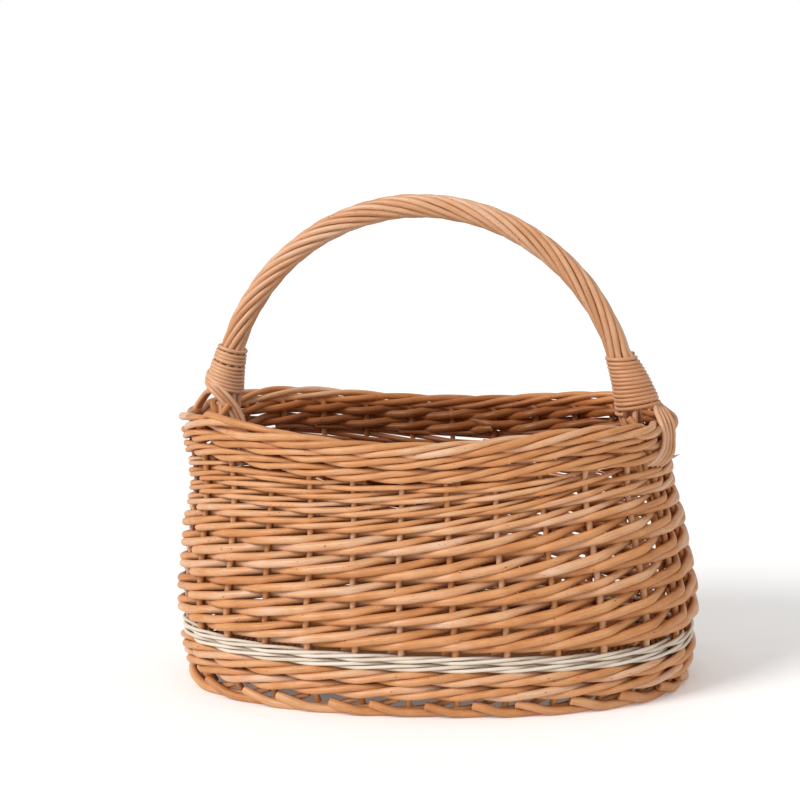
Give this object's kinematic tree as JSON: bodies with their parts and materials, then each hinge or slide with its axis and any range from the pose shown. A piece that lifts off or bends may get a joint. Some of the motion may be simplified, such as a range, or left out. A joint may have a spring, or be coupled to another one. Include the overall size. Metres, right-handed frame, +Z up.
{
  "type": "wicker shopping basket",
  "caption": "Oval buff willow shopping basket with a white cane band, a rolled rim border and a fixed roped bow handle bound at both ends.",
  "frame": {"origin": "centre of the oval on the floor plane that the foot border stands on", "axes": "+X along the basket's length towards the lower end of the rim's right side, +Y across its width towards the back, +Z up"},
  "size_m": [0.4103, 0.2604, 0.3798],
  "materials": {
    "buff_willow": "satin, buff willow rods",
    "brown_willow": "satin, darker buff willow rods",
    "pale_willow": "satin, pale buff willow rods",
    "white_cane": "semi-matt peeled cane"
  },
  "bodies": {
    "root": {"stake_1": "buff_willow", "stake_2": "buff_willow", "stake_3": "buff_willow", "stake_4": "buff_willow", "stake_5": "buff_willow", "stake_6": "buff_willow", "stake_7": "buff_willow", "stake_8": "buff_willow", "stake_9": "buff_willow", "stake_10": "buff_willow", "stake_11": "buff_willow", "stake_12": "buff_willow", "stake_13": "buff_willow", "stake_14": "buff_willow", "stake_15": "buff_willow", "stake_16": "buff_willow", "stake_17": "buff_willow", "stake_18": "buff_willow", "stake_19": "buff_willow", "stake_20": "buff_willow", "stake_21": "buff_willow", "stake_22": "buff_willow", "stake_23": "buff_willow", "stake_24": "buff_willow", "stake_25": "buff_willow", "stake_26": "buff_willow", "stake_27": "buff_willow", "stake_28": "buff_willow", "side_weave_rods_1_to_4": "buff_willow", "side_weave_rods_5_to_8": "buff_willow", "side_weave_rods_9_to_12": "buff_willow", "side_weave_rods_13_to_16": "buff_willow", "side_weave_rods_17_to_20": "buff_willow", "side_weave_rods_21_to_24": "buff_willow", "side_weave_rods_25_to_28": "buff_willow", "lower_wale_rod_1": "brown_willow", "lower_wale_rod_2": "brown_willow", "lower_wale_rod_3": "brown_willow", "white_band_rod_1": "white_cane", "white_band_rod_2": "white_cane", "white_band_rod_3": "white_cane", "upper_wale_rod_1": "buff_willow", "upper_wale_rod_2": "buff_willow", "upper_wale_rod_3": "buff_willow", "foot_border": "brown_willow", "base": "brown_willow", "handle_bow": "pale_willow", "handle_rope_rod_1": "pale_willow", "handle_rope_rod_2": "pale_willow", "handle_rope_rod_3": "pale_willow", "handle_rope_rod_4": "pale_willow", "handle_rope_rod_5": "pale_willow", "handle_rope_rod_6": "pale_willow", "handle_rope_rod_7": "pale_willow", "handle_rope_rod_8": "pale_willow", "handle_rope_rod_9": "pale_willow", "left_binding": "buff_willow", "right_binding": "buff_willow"}
  },
  "joints": []
}
